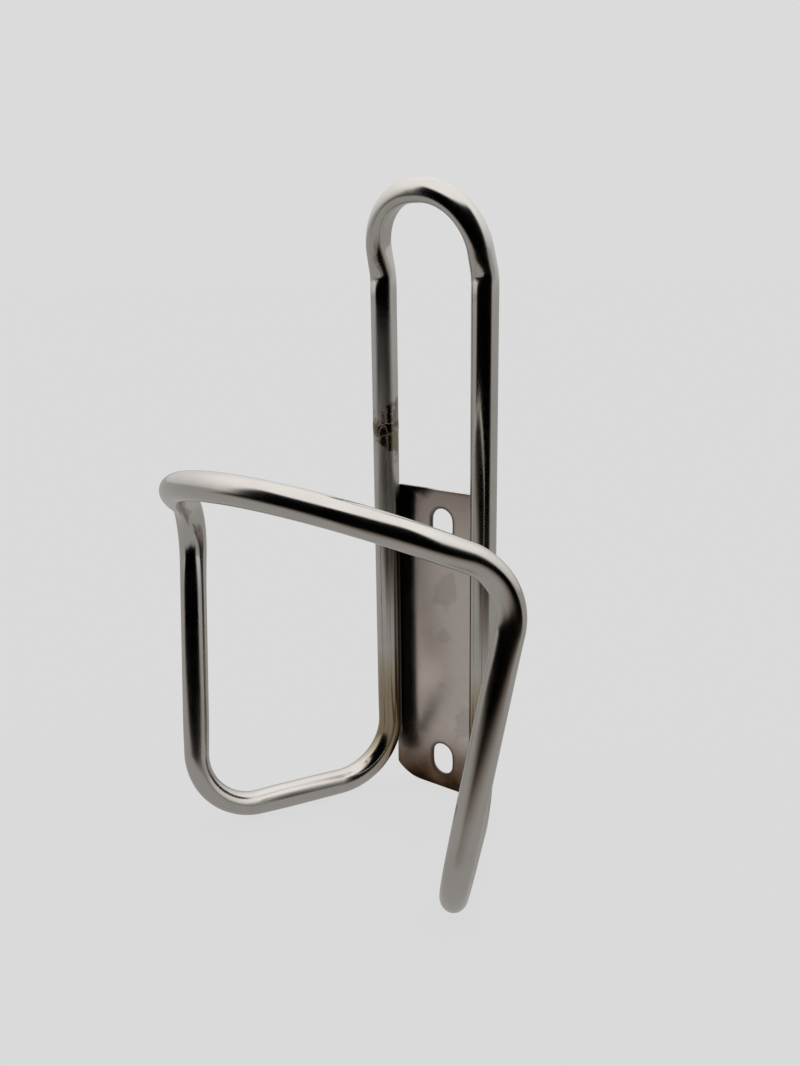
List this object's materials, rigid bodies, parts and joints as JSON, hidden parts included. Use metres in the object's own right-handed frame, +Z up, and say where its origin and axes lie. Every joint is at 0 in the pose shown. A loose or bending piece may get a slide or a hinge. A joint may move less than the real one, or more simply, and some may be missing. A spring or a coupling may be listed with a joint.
{
  "type": "water bottle cage",
  "caption": "Bicycle water bottle cage bent from one loop of thin titanium tube, with a leaning top loop, a wrapping front hoop and a slotted mounting plate welded behind its rails.",
  "frame": {"origin": "centre of the two-slot bolt pattern, on the mounting plate's back face", "axes": "+Z up the rails, +X to the side across the plate, +Y out of the plate's back towards the bicycle tube, so the bottle stands on the -Y side"},
  "size_m": [0.0972, 0.0733, 0.1554],
  "materials": {
    "tube_titanium": "satin-polished bare titanium tube",
    "plate_titanium": "satin-rolled bare titanium sheet",
    "weld_titanium": "as-welded titanium bead, slightly coloured by heat"
  },
  "bodies": {
    "root": {"cage_tube": "tube_titanium", "mounting_plate": "plate_titanium", "tube_butt_weld": "weld_titanium", "plate_weld_upper_left": "weld_titanium", "plate_weld_upper_right": "weld_titanium", "plate_weld_lower_left": "weld_titanium", "plate_weld_lower_right": "weld_titanium"}
  },
  "joints": []
}
